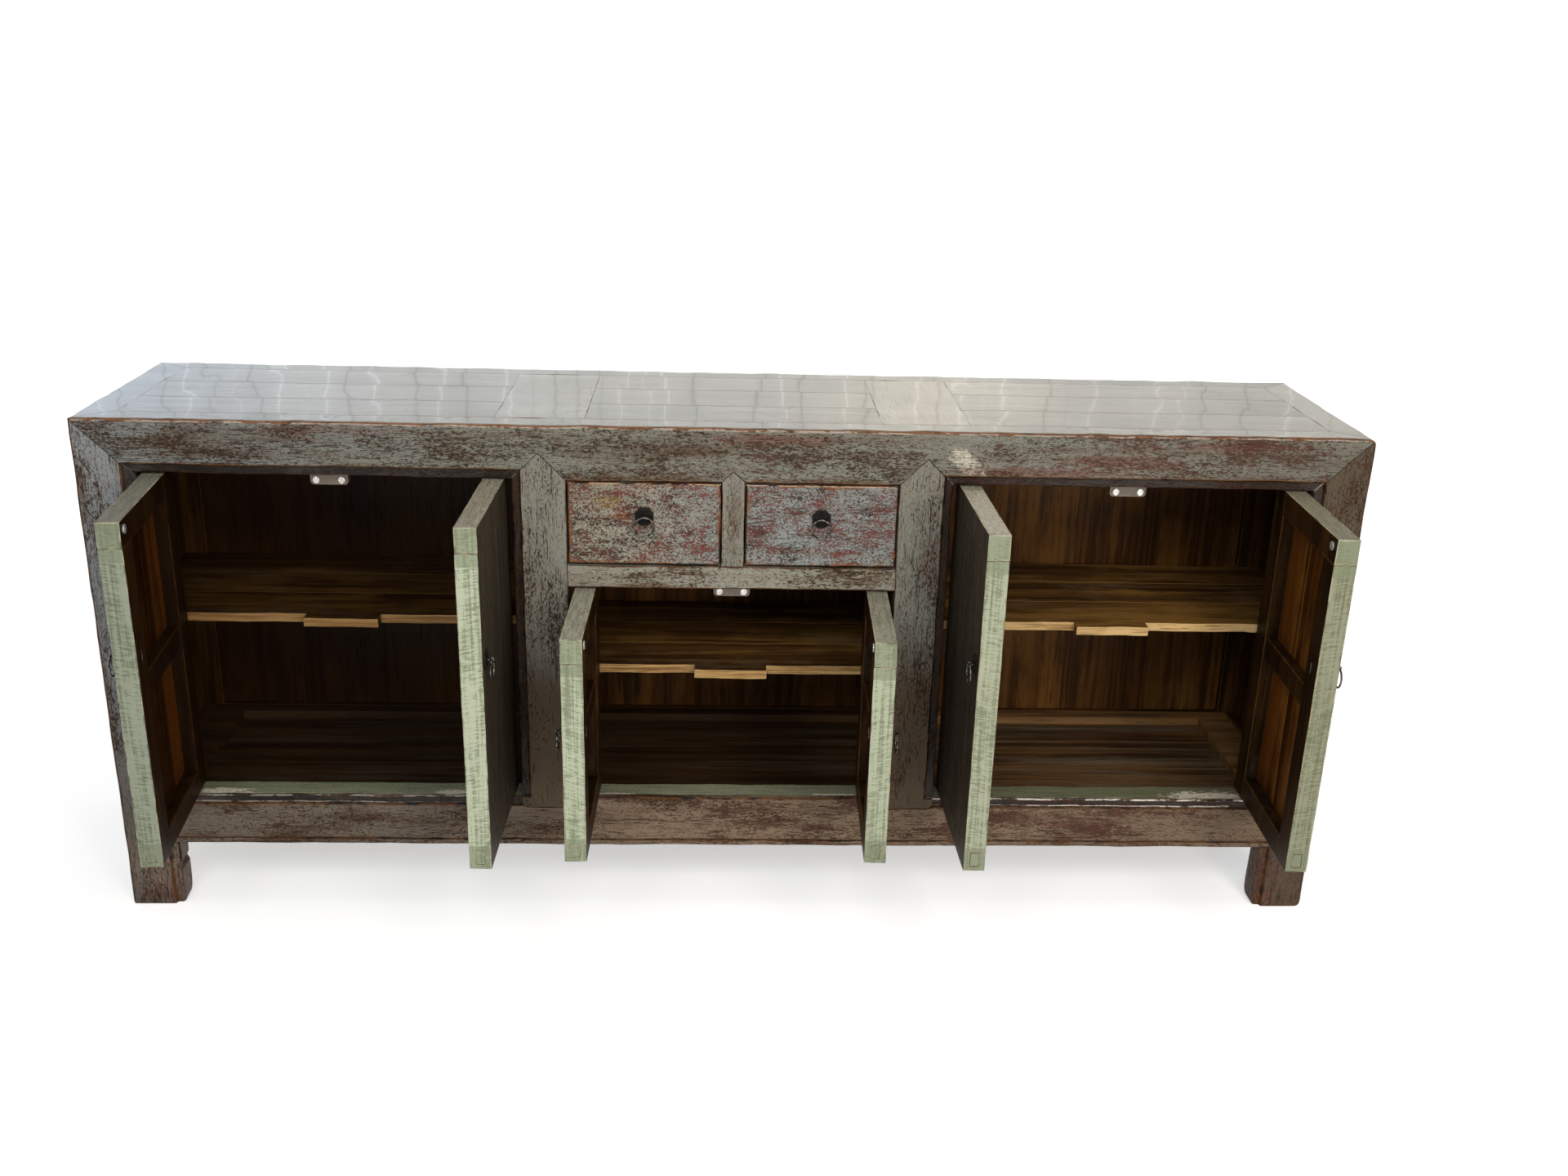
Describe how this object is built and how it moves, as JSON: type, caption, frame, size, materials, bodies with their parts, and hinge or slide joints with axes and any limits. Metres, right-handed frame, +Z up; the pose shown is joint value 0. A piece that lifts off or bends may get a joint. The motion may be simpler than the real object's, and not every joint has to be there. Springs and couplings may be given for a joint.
{
  "type": "lacquered sideboard",
  "caption": "Long lacquered sideboard on square legs: mitred frame, gabled stiles, pivoted inset doors standing open, drawers over the centre bay, shelves inside and iron ring pulls.",
  "frame": {"origin": "on the floor, in the middle of the box that the sideboard fills with its doors standing open as pictured", "axes": "+X to the right along the front, +Y to the back, +Z up"},
  "size_m": [2.05, 0.6532, 0.86],
  "materials": {
    "lacquer": "worn glossy grey-green lacquer over a red-brown ground",
    "door_lacquer": "worn pale grey-green lacquer",
    "drawer_lacquer": "rubbed lacquer, red-brown ground showing",
    "interior_wood": "dark brown varnish",
    "iron": "dark forged iron",
    "catch_plastic": "brown moulded body with bright steel magnets"
  },
  "bodies": {
    "carcass": {"leg_front_left": "lacquer", "leg_front_right": "lacquer", "top_rail_front": "lacquer", "top_end_rails": "lacquer", "top_cross_rails": "lacquer", "top_boards": "lacquer", "bottom_rail_front": "lacquer", "stile_front_left": "lacquer", "stile_front_right": "lacquer", "drawer_divider": "lacquer", "drawer_rails": "lacquer", "side_panels": "lacquer", "bottom_side_rails": "lacquer", "legs_rear": "interior_wood", "top_rail_rear": "interior_wood", "bottom_rail_rear": "interior_wood", "stiles_rear": "interior_wood", "drawer_runners": "interior_wood", "partitions": "interior_wood", "floor_boards": "interior_wood", "floor_bearers": "interior_wood", "floor_cleats": "interior_wood", "shelf_left": "interior_wood", "shelf_centre": "interior_wood", "shelf_right": "interior_wood", "shelf_bearers": "interior_wood", "back_boards": "interior_wood", "magnetic_catches": "catch_plastic"},
    "door_left_outer": {"door_left_outer_frame": "door_lacquer", "door_left_outer_panel": "door_lacquer", "door_left_outer_hardware": "iron"},
    "door_left_outer_ring": {"door_left_outer_ring": "iron"},
    "door_left_inner": {"door_left_inner_frame": "door_lacquer", "door_left_inner_panel": "door_lacquer", "door_left_inner_hardware": "iron"},
    "door_left_inner_ring": {"door_left_inner_ring": "iron"},
    "door_centre_left": {"door_centre_left_frame": "door_lacquer", "door_centre_left_panel": "door_lacquer", "door_centre_left_hardware": "iron"},
    "door_centre_left_ring": {"door_centre_left_ring": "iron"},
    "door_centre_right": {"door_centre_right_frame": "door_lacquer", "door_centre_right_panel": "door_lacquer", "door_centre_right_hardware": "iron"},
    "door_centre_right_ring": {"door_centre_right_ring": "iron"},
    "door_right_inner": {"door_right_inner_frame": "door_lacquer", "door_right_inner_panel": "door_lacquer", "door_right_inner_hardware": "iron"},
    "door_right_inner_ring": {"door_right_inner_ring": "iron"},
    "door_right_outer": {"door_right_outer_frame": "door_lacquer", "door_right_outer_panel": "door_lacquer", "door_right_outer_hardware": "iron"},
    "door_right_outer_ring": {"door_right_outer_ring": "iron"},
    "drawer_left": {"drawer_left_front": "drawer_lacquer", "drawer_left_box": "interior_wood", "drawer_left_hardware": "iron"},
    "drawer_left_ring": {"drawer_left_ring": "iron"},
    "drawer_right": {"drawer_right_front": "drawer_lacquer", "drawer_right_box": "interior_wood", "drawer_right_hardware": "iron"},
    "drawer_right_ring": {"drawer_right_ring": "iron"}
  },
  "joints": [
    {"name": "door_left_outer_hinge", "type": "hinge", "parent": "carcass", "child": "door_left_outer", "pos_m": [-0.909, -0.06236, 0.49175], "axis": [0, 0, -1], "range_deg": [-84.8, 25.2]},
    {"name": "door_left_outer_ring_swing", "type": "hinge", "parent": "door_left_outer", "child": "door_left_outer_ring", "pos_m": [-0.91325, -0.30254, 0.556], "axis": [-0.0906, 0.9959, 0], "range_deg": [-8, 110]},
    {"name": "door_left_inner_hinge", "type": "hinge", "parent": "carcass", "child": "door_left_inner", "pos_m": [-0.379, -0.06236, 0.49175], "axis": [0, 0, 1], "range_deg": [-88.8, 6.2]},
    {"name": "door_left_inner_ring_swing", "type": "hinge", "parent": "door_left_inner", "child": "door_left_inner_ring", "pos_m": [-0.35801, -0.30166, 0.556], "axis": [-0.0209, -0.9998, 0], "range_deg": [-8, 110]},
    {"name": "door_centre_left_hinge", "type": "hinge", "parent": "carcass", "child": "door_centre_left", "pos_m": [-0.237, -0.06736, 0.40175], "axis": [0, 0, -1], "range_deg": [-90.8, 4.2]},
    {"name": "door_centre_left_ring_swing", "type": "hinge", "parent": "door_centre_left", "child": "door_centre_left_ring", "pos_m": [-0.26594, -0.27778, 0.429], "axis": [0.014, 0.9999, 0], "range_deg": [-8, 110]},
    {"name": "door_centre_right_hinge", "type": "hinge", "parent": "carcass", "child": "door_centre_right", "pos_m": [0.237, -0.06736, 0.40175], "axis": [0, 0, 1], "range_deg": [-88.3, 6.7]},
    {"name": "door_centre_right_ring_swing", "type": "hinge", "parent": "door_centre_right", "child": "door_centre_right_ring", "pos_m": [0.25673, -0.27884, 0.429], "axis": [-0.0297, -0.9996, 0], "range_deg": [-8, 110]},
    {"name": "door_right_inner_hinge", "type": "hinge", "parent": "carcass", "child": "door_right_inner", "pos_m": [0.379, -0.06236, 0.49175], "axis": [0, 0, -1], "range_deg": [-88.9, 6.1]},
    {"name": "door_right_inner_ring_swing", "type": "hinge", "parent": "door_right_inner", "child": "door_right_inner_ring", "pos_m": [0.35759, -0.30162, 0.556], "axis": [-0.0192, 0.9998, 0], "range_deg": [-8, 110]},
    {"name": "door_right_outer_hinge", "type": "hinge", "parent": "carcass", "child": "door_right_outer", "pos_m": [0.909, -0.06236, 0.49175], "axis": [0, 0, 1], "range_deg": [-87.7, 22.3]},
    {"name": "door_right_outer_ring_swing", "type": "hinge", "parent": "door_right_outer", "child": "door_right_outer_ring", "pos_m": [0.9254, -0.30202, 0.556], "axis": [-0.0401, -0.9992, 0], "range_deg": [-8, 110]},
    {"name": "drawer_left_slide", "type": "slide", "parent": "carcass", "child": "drawer_left", "axis": [0, -1, 0], "range_m": [0, 0.24]},
    {"name": "drawer_left_ring_swing", "type": "hinge", "parent": "drawer_left", "child": "drawer_left_ring", "pos_m": [-0.1415, -0.09387, 0.714], "axis": [-1, 0, 0], "range_deg": [-8, 110]},
    {"name": "drawer_right_slide", "type": "slide", "parent": "carcass", "child": "drawer_right", "axis": [0, -1, 0], "range_m": [0, 0.24]},
    {"name": "drawer_right_ring_swing", "type": "hinge", "parent": "drawer_right", "child": "drawer_right_ring", "pos_m": [0.1415, -0.09387, 0.714], "axis": [-1, 0, 0], "range_deg": [-8, 110]}
  ]
}
